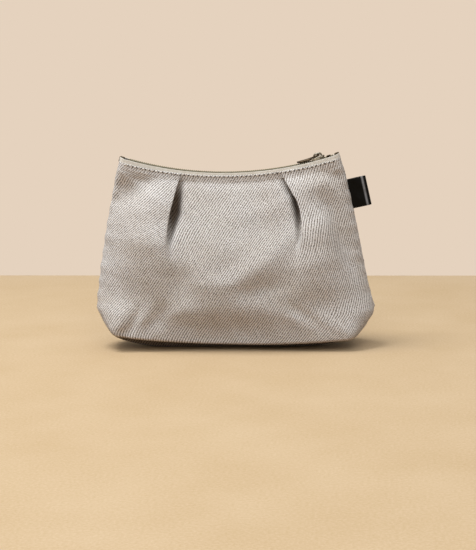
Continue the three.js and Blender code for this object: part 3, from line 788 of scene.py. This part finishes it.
def add_lining(side, form, material):
    columns = np.linspace(-HALF_FABRIC, HALF_FABRIC, 97)
    top = 1 - LINING_DROP / MIDDLE_HEIGHT
    rows = [(0, share, 0, 0) for share in np.linspace(0, 1, 7)[:-1]]
    rows += [(rise, 1, 0, 0) for rise in np.linspace(0, top, 44)]
    places, left_fold, right_fold, seed, facing = form
    inward = [(*place, min(0, height)) for *place, height in places]
    for sign, fold_line in ((-1, left_fold), (1, right_fold)):
        depth, edge, _, hollow = max(fold_line, key=lambda row: row[3])
        give = (*GIVE_LENGTHS, -GIVE_SLANT * sign, -GIVE_SHARE * hollow)
        inward.append((sign * edge, MIDDLE_HEIGHT - depth, *give))
    form = (inward, left_fold, right_fold, seed, facing)
    options = {"inset": LINING_DEPTH + LINING_CLOTH, "with_pleats": False}
    piece, _ = add_sheet(side, "_lining_cloth", material, columns, rows, form, **options)
    thick = piece.modifiers.new("thickness", "SOLIDIFY")
    thick.thickness = LINING_CLOTH * MM
    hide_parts(SIDE_NAMES[side] + "_lining")


def add_facing(side, form, material):
    """A plain strip that stands between the folded edge of a panel and the coil."""
    fold, low = FACING / 2, 1 - FACING_DEPTH / WALL_HEIGHT
    top = 1 - (fold + FACING_SINK) / WALL_HEIGHT
    rows = [(rise, 1, 0, HEM) for rise in np.linspace(low, top, 8)[:-1]]
    rows += fold_over(top, fold, HEM, 7)
    rows += [(rise, 1, 0, HEM + FACING) for rise in np.linspace(top, low, 4)[1:]]
    columns = np.linspace(-HALF_FABRIC, HALF_FABRIC, 241)
    piece, _ = add_sheet(side, "_zip_facing", material, columns, rows, form, with_pleats=False)


def stitch_path(form):
    """The outermost layer of a panel along its top stitching, by x, and how far it follows the zip."""
    rise = 1 - STITCH_DEPTH / WALL_HEIGHT
    columns = np.linspace(-HALF_FABRIC, HALF_FABRIC, 1600)
    line = panel_grid(columns, [(rise, 1, 0, 0)], form)[0][0]
    x = np.arange(-HALF_TOP + STITCH_ENDS, HALF_TOP - STITCH_ENDS, STITCH_STEP)
    y = np.full_like(x, np.inf)
    for a, b in zip(line[:-1], line[1:]):
        low, high = min(a[0], b[0]), max(a[0], b[0])
        inside = (x >= low) & (x <= high)
        share = (x[inside] - a[0]) / (b[0] - a[0]) if abs(b[0] - a[0]) > 1e-9 else 0
        y[inside] = np.minimum(y[inside], mix(a[1], b[1], share))
    window = np.ones(2 * STITCH_EASE + 1) / (2 * STITCH_EASE + 1)
    y = np.convolve(np.pad(y, STITCH_EASE, mode="edge"), window, "valid")
    z = wall_height(x / HALF_TOP, rise, True)
    to_seam = HALF_TOP + SEAM_TURN - np.abs(x)
    return np.stack([x, y, z], 1), seam_freedom(STITCH_DEPTH, to_seam)


def tube(path, radius, sides, normals):
    """Rings of points round a path; normals give the side of each ring's first point."""
    tangents = unit(np.gradient(path, axis=0))
    first = unit(normals - tangents * np.sum(normals * tangents, 1)[:, None])
    second = np.cross(tangents, first)
    turn = np.linspace(0, 2 * pi, sides, endpoint=False)
    radius = np.broadcast_to(radius, len(path))[:, None, None]
    ring = first[:, None] * np.cos(turn)[None, :, None] + second[:, None] * np.sin(turn)[None, :, None]
    return path[:, None] + ring * radius


def tube_faces(rings, sides, start=0):
    """Quads along a tube and a closed face at each end."""
    faces = []
    for i in range(rings - 1):
        for j in range(sides):
            a, b = start + i * sides + j, start + i * sides + (j + 1) % sides
            faces.append((a, b, b + sides, a + sides))
    last = start + (rings - 1) * sides
    faces.append(tuple(range(start + sides - 1, start - 1, -1)))
    faces.append(tuple(range(last, last + sides)))
    return faces


def add_stitching(side, form, thread, hole_shade):
    """One row of stitches under the edge of a panel: each dips into the cloth at its two ends, where dark
    specks paint the shade of the needle holes.
    """
    path, follow = stitch_path(form)
    along = distance_along(path)

    def at(middle, half, count):
        s = np.linspace(middle - half, middle + half, count)
        return np.stack([np.interp(s, along, path[:, k]) for k in range(3)], -1)

    outward, up = np.array([0.0, -1.0, 0.0]), np.array([0.0, 0.0, 1.0])
    made = {"stitching": ([], [], []), "hole_shades": ([], [], [])}
    for s in np.arange(STITCH_PITCH, along[-1] - STITCH_PITCH, STITCH_PITCH):
        line = at(s, STITCH_LENGTH / 2, len(STITCH_BEND)) + outward * STITCH_BEND[:, None]
        # Dark speck of painted shade over the needle hole between two stitches.
        hole = at(s + STITCH_PITCH / 2, PRICK_HALF, len(PRICK_SIZES)) + outward * PRICK_OUT
        hole = hole + np.linspace(-PRICK_SLANT, PRICK_SLANT, len(hole))[:, None] * up
        rings = {
            "stitching": tube(line, STITCH_WAIST, TUBE_SIDES, outward),
            "hole_shades": tube(hole, PRICK_SIZES, TUBE_SIDES, up),
        }
        weight = np.interp(s, along, follow)
        for kind, ring in rings.items():
            points, faces, weights = made[kind]
            faces.extend(tube_faces(len(ring), TUBE_SIDES, len(points)))
            points.extend(ring.reshape(-1, 3))
            weights.extend([weight] * ring[..., 0].size)
    for kind, material in (("stitching", thread), ("hole_shades", hole_shade)):
        points, faces, weights = made[kind]
        piece = new_piece(f"{SIDE_NAMES[side]}_top_{kind}", turned(points, side), faces, material)
        follow_lip(piece)


# Zip

# Slider: outlines of its plates, neck and one rim, along and across the zip, and the arch of its crown
SLIDER_SHIELD = (
    (-4.5, -1.9), (0.5, -2.3), (3.2, -2.7), (4.5, -1.5), (4.5, 1.5), (3.2, 2.7), (0.5, 2.3), (-4.5, 1.9)
)
SLIDER_NECK = ((2.0, -0.32), (4.2, -0.32), (4.2, 0.32), (2.0, 0.32))
SLIDER_RIM = ((-4.2, 2.36), (0.6, 2.36), (3.0, 2.45), (3.0, 2.78), (0.6, 2.7), (-4.2, 2.7))
RIM_SHARE = 0.3
CROWN_FOOT = 2.6
CROWN_REACH = 2.6
CROWN_RISE = 2.55
CROWN_SQUARE = 0.6
CROWN_WIRE = 0.6
CROWN_WIDENING = 1.5
CROWN_SIDES = 10

# Pull: middle and half length, half width, taper and thickness of the tab, and its hole
PULL_MIDDLE = 6.6
PULL_REACH = 8.1
PULL_HALF_WIDTH = 2.2
PULL_TAPER = 0.16
PULL_TAPER_FROM = (3, 13)
PULL_HALF_THICKNESS = 0.5
PULL_HOLE_AT = 1.0
PULL_HOLE = (1.55, 1.2)
PULL_SQUARE = (0.35, 0.5)
PULL_RIM_IN = 0.92
PULL_HOLE_OUT = 1.12
PULL_FLANK = 0.55

# Crimped stop: distance past the tape, half width, and the half gap of its groove
CRIMP_PAST = 1.6
CRIMP_HALF_WIDTH = 1.9
CRIMP_GROOVE = 0.2


def on_zip(s, y, level):
    angle = np.asarray(s) / ZIP_RADIUS
    radius = ZIP_RADIUS - np.asarray(level)
    points = np.broadcast_arrays(radius * np.sin(angle), y, ZIP_CENTRE - radius * np.cos(angle))
    return np.stack(points, -1)


def add_tape(side, material):
    """Woven tape: flat beside the coil and turned down along the folded edge of its panel."""
    middle = [(0.75, -0.6), (1.6, -0.6), (2.5, -0.62), (3.2, -0.6)]
    for a in np.linspace(0, pi / 2, 7)[1:]:
        middle.append((3.2 + TAPE_BEND * sin(a), -0.6 - TAPE_BEND + TAPE_BEND * cos(a)))
    middle = np.array(middle + [(4.02, level) for level in (-2.4, -3.4, TAPE_FOOT)])
    normal = left_normals(middle) * TAPE / 2
    profile = np.concatenate([middle + normal, (middle - normal)[::-1]])
    s = np.linspace(-TAPE_LEFT, TAPE_RIGHT, 120)
    points = on_zip(s[None, :], side * profile[:, :1], profile[:, 1:])
    cut = np.stack(np.broadcast_arrays(s[None, :], distance_along(profile)[:, None]), 2)
    rows = range(len(profile))
    faces = grid_faces(len(profile), len(s), around=True).tolist()
    faces.append([row * len(s) for row in rows])
    faces.append([(row + 1) * len(s) - 1 for row in reversed(rows)])
    if side == BACK:
        faces = [face[::-1] for face in faces]
    name = SIDE_NAMES[side]
    piece = new_piece(f"{name}_zip_tape", points, faces, material, cut)
    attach(piece, name + "_lip")
    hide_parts("zip_tape_" + name)


def coil_rings(side, left, right):
    """One row of coil: a wire wound flat along the tape, whose heads reach past the middle of the zip."""
    inner, outer = -COIL_OVERLAP, COIL_SLIT / 2 + COIL_ROW
    turns = (right - left - COIL_PITCH) / COIL_PITCH
    angle = np.linspace(0, 2 * pi * turns, int(COIL_STEPS * turns))
    phase = 0 if side == FRONT else COIL_PITCH / 2
    s = left + COIL_PITCH / 4 + phase + COIL_PITCH * angle / (2 * pi)
    half_row = (outer - inner) / 2 - COIL_WIRE
    y = (outer + inner) / 2 - half_row * np.cos(angle)
    level = COIL_HEIGHT / 2 + (COIL_HEIGHT / 2 - COIL_WIRE) * np.sin(angle)
    path = on_zip(s, side * y, level)
    middle = on_zip(s, side * (outer + inner) / 2, COIL_HEIGHT / 2)
    return tube(path, COIL_WIRE, TUBE_SIDES, path - middle)


def add_coil(side, material):
    """The row that opens with its half of the zip, and the short end past the slider that stays closed."""
    name = SIDE_NAMES[side]
    rings = coil_rings(side, -COIL_LEFT, COIL_RIGHT)
    piece = new_piece(f"{name}_zip_coil", rings, tube_faces(*rings.shape[:2]), material)
    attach(piece, name + "_lip")
    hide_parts("zip_coil_" + name)
    rings = coil_rings(side, -COIL_END, COIL_PITCH - COIL_LEFT)
    piece = new_piece(f"{name}_zip_coil_end", rings, tube_faces(*rings.shape[:2]), material)
    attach(piece, "pouch")


def rounded_outline(corners, radius):
    """A closed outline, turning left, with rounded corners."""
    corners = np.asarray(corners, float)
    line = []
    for before, corner, after in zip(np.roll(corners, 1, 0), corners, np.roll(corners, -1, 0)):
        a, b = before - corner, after - corner
        a, b = a / np.linalg.norm(a), b / np.linalg.norm(b)
        for t in np.linspace(0, 1, 5):
            line.append(corner + radius * (a * (1 - t) ** 2 + b * t**2))
    return line


def add_prism(points, faces, corners, radius, levels, inset):
    """Adds a plate on the zip: corners along and across, their rounding, two levels, and its soft rim."""
    outline = np.asarray(rounded_outline(corners, radius))
    away = unit(outline - outline.mean(0))
    low, high = levels
    start = len(points)
    part = inset * RIM_SHARE
    rims = [(inset, low), (part, low + part), (0, low + inset)]
    rims += [(0, high - inset), (part, high - part), (inset, high)]
    for shrink, level in rims:
        rim = outline - away * shrink
        points.extend(on_zip(rim[:, 0], rim[:, 1], level))
    faces.extend(tube_faces(len(rims), len(outline), start))


def box_corners(low_s, high_s, low_y, high_y):
    return [(low_s, low_y), (high_s, low_y), (high_s, high_y), (low_s, high_y)]


def on_slider(corners):
    """Corners moved from the middle of the slider to its place on the zip."""
    return [(s + SLIDER_STATION, y) for s, y in corners]


def add_slider(material):
    """Two plates joined by a neck, rims turned in over the coil, and a crown that carries the pull."""
    points, faces = [], []
    for levels in ((2.05, 3.05), (-2.35, -1.4)):
        add_prism(points, faces, on_slider(SLIDER_SHIELD), 0.5, levels, 0.25)
    add_prism(points, faces, on_slider(SLIDER_NECK), 0.2, (-1.5, 2.2), 0.05)
    for rim in ([(s, -y) for s, y in reversed(SLIDER_RIM)], SLIDER_RIM):
        add_prism(points, faces, on_slider(rim), 0.12, (0.5, 2.6), 0.1)
    turn = np.linspace(0, pi, 25)
    squared = np.sign(np.cos(turn)) * np.abs(np.cos(turn)) ** CROWN_SQUARE
    level = CROWN_FOOT + CROWN_RISE * np.sin(turn) ** CROWN_SQUARE
    path = on_zip(SLIDER_STATION + CROWN_REACH * squared, 0.0, level)
    middle = on_zip(SLIDER_STATION, 0.0, CROWN_FOOT)
    rings = tube(path, CROWN_WIRE, CROWN_SIDES, path - middle + (0, 0, 1e-3))
    rings[..., 1] *= CROWN_WIDENING
    faces.extend(tube_faces(len(path), CROWN_SIDES, len(points)))
    points.extend(rings.reshape(-1, 3))
    piece = new_piece("zip_slider_body", points, faces, material)
    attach(piece, "slider")
    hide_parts("zip_slider")


def add_pull(material):
    """A tab that hangs on the crown by its hole, droops to the coil and is bent along it."""
    slope = radians(PULL_SLOPE)
    along = np.array([-cos(slope), 0, -sin(slope)])
    up = np.array([-sin(slope), 0, cos(slope)])
    turn = np.linspace(0, 2 * pi, 56, endpoint=False)
    c, s = np.cos(turn), np.sin(turn)
    square = np.maximum(np.abs(c), np.abs(s))
    long = PULL_MIDDLE + PULL_REACH * np.sign(c) * np.abs(c) ** PULL_SQUARE[0]
    wide = PULL_HALF_WIDTH * np.sign(s) * np.abs(s) ** PULL_SQUARE[1]
    rim = np.stack([long, wide * (1 - PULL_TAPER * smooth(*PULL_TAPER_FROM, long))], 1)
    hole = np.stack([PULL_HOLE_AT + PULL_HOLE[0] * c / square, PULL_HOLE[1] * s / square], 1)
    half, flank = PULL_HALF_THICKNESS, PULL_HALF_THICKNESS * PULL_FLANK
    roll = radians(PULL_ROLL)
    side = np.array([0, cos(roll), 0]) + up * sin(roll)
    face = up * cos(roll) - np.array([0, sin(roll), 0])
    loops = [(rim, PULL_RIM_IN, half), (rim, 1, flank), (rim, 1, -flank), (rim, PULL_RIM_IN, -half)]
    loops += [(hole, PULL_HOLE_OUT, -half), (hole, 1, -flank)]
    loops += [(hole, 1, flank), (hole, PULL_HOLE_OUT, half)]
    points = []
    for outline, grow, level in loops:
        middle = outline.mean(0)
        flat = middle + (outline - middle) * (mix(1, grow, 0.5), grow)
        reach = np.clip(flat[:, :1] / PULL_LENGTH, 0, 1)
        sag = 4 * PULL_SAG * reach * (1 - reach)
        place = np.array(PULL_PIVOT) + flat[:, :1] * along + flat[:, 1:] * side
        points.append(place + level * face - sag * up)
    count = len(turn)
    faces = []
    for i in range(len(loops)):
        below, above = i * count, (i + 1) % len(loops) * count
        for j in range(count):
            k = (j + 1) % count
            faces.append((below + j, above + j, above + k, below + k))
    piece = new_piece("zip_pull_tab", np.concatenate(points), faces, material)
    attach(piece, "pull")
    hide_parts("zip_pull")


def add_bottom_stop(material):
    """A band of metal crimped across both tapes, with a shallow groove along its middle."""
    points, faces = [], []
    centre = -TAPE_LEFT - CRIMP_PAST
    for low, high, half in ((-0.9, 0.9, 1.3), (0.7, 1.1, 1.1)):
        for low_y, high_y in ((-CRIMP_HALF_WIDTH, -CRIMP_GROOVE), (CRIMP_GROOVE, CRIMP_HALF_WIDTH)):
            corners = box_corners(centre - half, centre + half, low_y, high_y)
            add_prism(points, faces, corners, 0.35, (low, high), 0.2)
    corners = box_corners(centre - 1.2, centre + 1.2, -0.5, 0.5)
    add_prism(points, faces, corners, 0.2, (-0.8, 0.9), 0.1)
    piece = new_piece("zip_bottom_crimp", points, faces, material)
    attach(piece, "pouch")
    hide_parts("zip_bottom_stop")


def add_tape_ends(material):
    """The ends of the tapes, folded under where they run into the two top corners."""
    for name, low, high, top in (("left", -76.4, -72.9, 1.5), ("right", 72.7, 75.9, 2.0)):
        points, faces = [], []
        corners = box_corners(low, high, -CRIMP_HALF_WIDTH, CRIMP_HALF_WIDTH)
        add_prism(points, faces, corners, 0.9, (-2.2, 0.0), 0.35)
        add_prism(points, faces, corners, 0.9, (-0.2, top), 0.5)
        cut = np.asarray(points)[:, :2]
        piece = new_piece(f"tape_end_{name}", points, faces, material, cut)
        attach(piece, "pouch")


# Leather loop: height of the waves across its leaf, and where along it they start

LOOP_WAVE = 0.12
LOOP_WAVE_FROM = (-1, 4)


def add_loop(material):
    """A strap folded in half, its two tails caught in the side seam."""
    tail, lean, nose, corner = -3.0, 0.75, 5.5, 0.35
    bend_from = LOOP_FOLD_AT + LOOP_FOLD_RADIUS - nose
    fold = np.linspace(pi / 2, -pi / 2, 41)
    out = np.linspace(tail, bend_from, 14)[:-1]
    leaf = lean + (LOOP_FOLD_RADIUS - lean) * smooth(tail, bend_from, out)
    bend = np.stack([bend_from + nose * np.cos(fold) ** 0.8, LOOP_FOLD_RADIUS * np.sin(fold)], 1)
    line = np.concatenate([np.stack([out, leaf], 1), bend, np.stack([out, -leaf], 1)[::-1]])
    normal = left_normals(line)
    half, thick = LOOP_WIDTH / 2, LEATHER / 2
    ring = []
    for at_z, at_n, start in ((1, 1, 0), (-1, 1, 90), (-1, -1, 180), (1, -1, 270)):
        z, n = at_z * (half - corner), at_n * (thick - corner)
        for a in np.radians(np.linspace(start, start + 90, 5)):
            ring.append((z + corner * cos(a), n + corner * sin(a)))
        if at_n == at_z:
            edge = at_z * np.linspace(half - corner, corner - half, 16)[1:-1]
            ring += [(z, at_n * thick) for z in edge]
    ring = np.array(ring)
    shape = line[:, None, :] + normal[:, None, :] * ring[None, :, 1:]
    across = np.broadcast_to(ring[:, 0], shape.shape[:2])
    reach = shape[..., 0]
    wave = LOOP_WAVE * np.sin(across * 0.5 + reach * 0.3) * smooth(*LOOP_WAVE_FROM, reach)
    local = np.stack([reach, shape[..., 1] + wave, across], 2)
    turn = np.array(Matrix.Rotation(LOOP_TILT, 3, "Y"))
    points = local.reshape(-1, 3) @ turn.T + np.array(LOOP_PLACE)
    length = distance_along(line)
    from_fold = np.broadcast_to((length - length[-1] / 2)[:, None], across.shape)
    faces = [face[::-1] for face in tube_faces(len(line), len(ring))]
    piece = new_piece("leather_tab", points, faces, material, np.stack([from_fold, across], 2))
    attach(piece, "loop")
    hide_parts("leather_loop")


# Stage, light and camera

# Table: its front and back, the rounding of its back edge, half its width, and how far it is turned
TABLE_FRONT = -1200.0
TABLE_BACK = 304.0
TABLE_ROUNDING = 8.0
TABLE_HALF_WIDTH = 1500.0
TABLE_SKEW = 0.055

LAMP_WHITE = (252, 253, 255)
LAMP_AIM = (0, 0, 0.06)


def add_table(material):
    """A board with a softly rounded back edge."""
    turn = np.linspace(0, pi / 2, 8)[1:]
    flat = np.linspace(TABLE_FRONT, TABLE_BACK, 30)
    depth = np.concatenate([flat, TABLE_BACK + TABLE_ROUNDING * np.sin(turn)])
    height = np.concatenate([np.zeros_like(flat), TABLE_ROUNDING * np.cos(turn) - TABLE_ROUNDING])
    x = np.linspace(-TABLE_HALF_WIDTH, TABLE_HALF_WIDTH, 30)[None, :]
    points = np.stack(np.broadcast_arrays(x, depth[:, None] - TABLE_SKEW * x, height[:, None]), 2)
    table = new_piece("table_board", points, grid_faces(*points.shape[:2]), material)


def set_world(backdrop, low, high):
    """A plain backdrop where it is seen, and a soft fill that grows to the top, the back and the sides."""
    world = bpy.data.worlds.new("studio")
    scene.world = world
    world.use_nodes = True
    nodes = Nodes(world.node_tree)
    x, y, z = nodes.parts(nodes.node("TexCoord", {}))
    most = nodes.calc("MAXIMUM", nodes.calc("MAXIMUM", nodes.calc("ABSOLUTE", x), y), z)
    light = world.node_tree.nodes["Background"]
    nodes.put(light.inputs["Color"], rgba(LAMP_WHITE))
    nodes.put(light.inputs["Strength"], nodes.stretch(most, 0.0, 1.0, low, high))
    wall = nodes.node("Background", {"Color": rgba(backdrop)})
    choice = nodes.node("MixShader", {0: nodes.seen(), 1: light.outputs[0], 2: wall})
    nodes.put(world.node_tree.nodes["World Output"].inputs[0], choice)


def add_lamp(name, place, size, power):
    lamp = bpy.data.lights.new(name, "AREA")
    lamp.shape = "DISK"
    lamp.size = size
    lamp.energy = power
    lamp.color = rgba(LAMP_WHITE)[:3]
    made = link(name, lamp)
    made.location = place
    made.rotation_euler = (Vector(LAMP_AIM) - Vector(place)).to_track_quat("-Z", "Y").to_euler()


def add_camera(azimuth, elevation, distance, aim, lens, roll):
    a, e = radians(azimuth), radians(elevation)
    away = Vector((sin(a) * cos(e), -cos(a) * cos(e), sin(e)))
    data = bpy.data.cameras.new("camera")
    data.lens = lens
    data.sensor_width = 36
    camera = link("camera", data)
    turn = away.to_track_quat("Z", "Y").to_matrix().to_4x4()
    place = Matrix.Translation(Vector(aim) * MM + away * distance * MM)
    camera.matrix_world = place @ turn @ Matrix.Rotation(radians(roll), 4, "Z")
    scene.camera = camera


# Dents and bulges: place across and up, half lengths along and across, slant in degrees, height
FRONT_DENTS = [
    (-65, 112, 19, 9, 24, -5.4), (-60, 75, 18, 18, 0, 2.6), (60, 58, 14, 20, 0, 2.0),
    (70, 118, 8, 5, -30, -2.4), (63, 99, 13, 7, -50, -2.8), (75, 78, 28, 5.5, -70, -3.6),
    (22, 60, 33, 9, 36, 2.8), (22, 44, 20, 7, 8, -3.0), (-46, 72, 15, 18, 0, 1.6),
    (-35, 47, 11, 10, 0, -2.8), (-10, 70, 14, 26, -12, 1.2), (-68, 19, 13, 4.6, 56, -4.0),
    (-50, 24, 14, 6.5, 40, -3.8), (-82, 26, 9, 10, 0, 1.4), (-6, 11, 44, 13, 0, -5.4),
    (52, 24, 15, 4.5, -34, -2.8), (66, 25, 16, 8, -30, -2.2),
]
BACK_DENTS = [
    (64, 104, 16, 9, -24, -3.2), (-62, 104, 15, 9, 20, -2.6), (-24, 62, 32, 9, -34, 2.6),
    (-22, 45, 20, 7, -8, -2.6), (-75, 74, 26, 7, 70, -3.0), (38, 48, 14, 9, 6, -2.4),
    (52, 70, 16, 16, 0, 1.6), (58, 20, 14, 4.5, -10, -2.2), (6, 8, 42, 13, 0, -5.0),
]
# Pleat edges: depth under the zip, distance from the middle, width and depth of the hollow beside it
LEFT_FOLD = (
    (0, 31.5, 2.5, 0.1), (4, 32.6, 2.6, 0.6), (12, 34.6, 3.0, 4.5),
    (20, 36.4, 4.4, 9.5), (29, 38.4, 4.9, 11.5), (36, 39.4, 3.6, 8.5),
    (44, 40.0, 2.6, 4.6), (50, 40.6, 2.4, 2.0), (58, 41.2, 3.0, 0),
)
RIGHT_FOLD = (
    (0, 34, 2.5, 0.1), (4, 35.9, 2.4, 0.8), (12, 39.5, 2.2, 4.0),
    (22, 45.3, 2.3, 8.0), (29, 47.4, 2.5, 9.0), (36, 48.2, 2.2, 7.0),
    (43, 48.4, 2.0, 3.2), (54, 48.4, 2.5, 0),
)
BACK_HOLLOW = 0.65
BACK_FOLD = tuple((depth, edge, width, BACK_HOLLOW * hollow) for depth, edge, width, hollow in LEFT_FOLD)

# Each half: its dents, its left and right pleat, the seed of its ripples, and the side it leans to
FORMS = {
    FRONT: (FRONT_DENTS, LEFT_FOLD, RIGHT_FOLD, 11, 1),
    BACK: (BACK_DENTS, BACK_FOLD, BACK_FOLD, 23, -1),
}

twill, cotton = twill_material(), lining_material()
facing, thread, hole_shade = facing_material(), thread_material(), hole_shade_material()
for side, form in FORMS.items():
    add_panel(side, form, twill)
    add_lining(side, form, cotton)
    add_facing(side, form, facing)
    add_stitching(side, form, thread, hole_shade)
tape, nylon, brass = tape_material(), coil_material(), metal_material()
for side in (FRONT, BACK):
    add_tape(side, tape)
    add_coil(side, nylon)
add_slider(slider_material())
add_pull(brass)
add_tape_ends(end_material())
add_bottom_stop(brass)
for node in ("zip_top_stop_front", "zip_top_stop_back"):
    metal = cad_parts[node]
    metal.data.materials.clear()
    metal.data.materials.append(brass)
    soft_edge = metal.modifiers.new("soft_edge", "BEVEL")
    soft_edge.width = 0.16 * MM
    soft_edge.segments = 3
    soft_edge.harden_normals = True
add_loop(leather_material())

add_table(paper_material())
set_world(backdrop=(229, 210, 190), low=0.0, high=0.6)
add_lamp("key", place=(-0.5, -0.16, 1.46), size=0.75, power=16.6)
add_lamp("fill", place=(0.1, -1.5, 1.25), size=1.6, power=13.6)
add_camera(azimuth=6, elevation=9, distance=1000, aim=(4.1, 0, 49.2), lens=95.5, roll=-1.42)

scene.view_settings.view_transform = "Standard"
